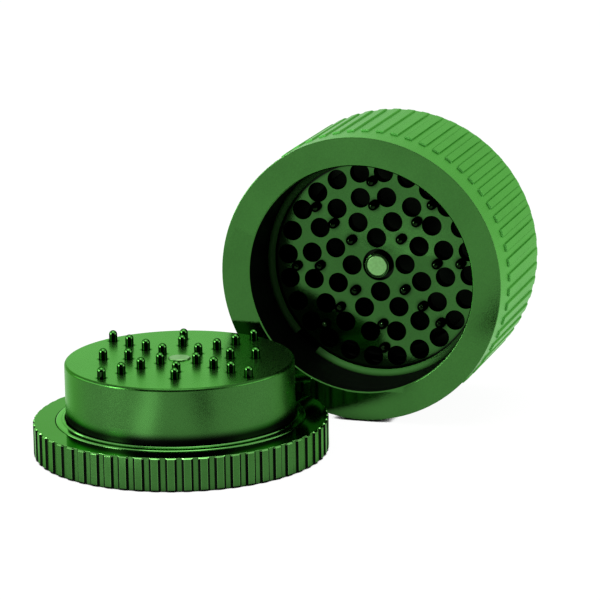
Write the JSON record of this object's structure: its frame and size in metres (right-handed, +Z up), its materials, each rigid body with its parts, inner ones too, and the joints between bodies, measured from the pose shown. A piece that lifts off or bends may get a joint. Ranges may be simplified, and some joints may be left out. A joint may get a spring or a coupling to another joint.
{
  "type": "herb grinder",
  "caption": "Hand grinder for herbs and spices, taken apart: a ribbed green metal body on its side with a perforated pin plate inside, and its pinned lid lying upside down in front.",
  "frame": {"origin": "on the table, under the middle of the footprint of the body and the lid", "axes": "+Y along the body's axis from its open mouth to its screwed base, +Z up from the table, +X to the side that the body lies on, with the lid at -X"},
  "size_m": [0.0946, 0.097, 0.0637],
  "materials": {
    "body_metal": "bead-blasted, satin green anodised",
    "lid_metal": "bead-blasted, satin green anodised",
    "plate_metal": "bead-blasted, dark green anodised",
    "post_metal": "turned, green anodised",
    "pin_metal": "polished, near-black green",
    "magnet_metal": "ground, pale green",
    "wire_metal": "drawn wire, green",
    "fastener_metal": "plain steel",
    "glide_plastic": "machined, dark green",
    "seal_rubber": "moulded, black"
  },
  "bodies": {
    "chamber": {"grinding_chamber": "body_metal", "stator_plate": "plate_metal", "stator_pins": "pin_metal", "centre_post": "post_metal", "post_magnet": "magnet_metal", "plate_snap_ring": "wire_metal", "plate_dowels": "fastener_metal"},
    "glide": {"glide_ring": "glide_plastic"},
    "lid": {"lid_cap": "lid_metal", "rotor_drum": "lid_metal", "rotor_pins": "pin_metal", "rotor_magnet": "magnet_metal", "rotor_screw": "fastener_metal", "drive_dowels": "fastener_metal"},
    "seal": {"base_seal": "seal_rubber"},
    "base": {"base_cup": "body_metal"}
  },
  "joints": [
    {"name": "lid_lift", "type": "slide", "parent": "chamber", "child": "glide", "axis": [0, -0.342, 0.9397], "range_m": [0, 0.06]},
    {"name": "lid_spin", "type": "hinge", "parent": "glide", "child": "lid", "pos_m": [-0.01578, -0.01701, 0], "axis": [0, 0, 1], "continuous": true},
    {"name": "base_travel", "type": "slide", "parent": "chamber", "child": "seal", "axis": [0, 1, 0], "range_m": [0, 0.0053]},
    {"name": "base_turn", "type": "hinge", "parent": "seal", "child": "base", "pos_m": [0.01542, 0.04851, 0.03185], "axis": [0, 1, 0], "range_deg": [0, 1260]}
  ],
  "couplings": [
    {"joint": "base_travel", "follows": "base_turn", "m_per_rad": 0.00023873}
  ]
}
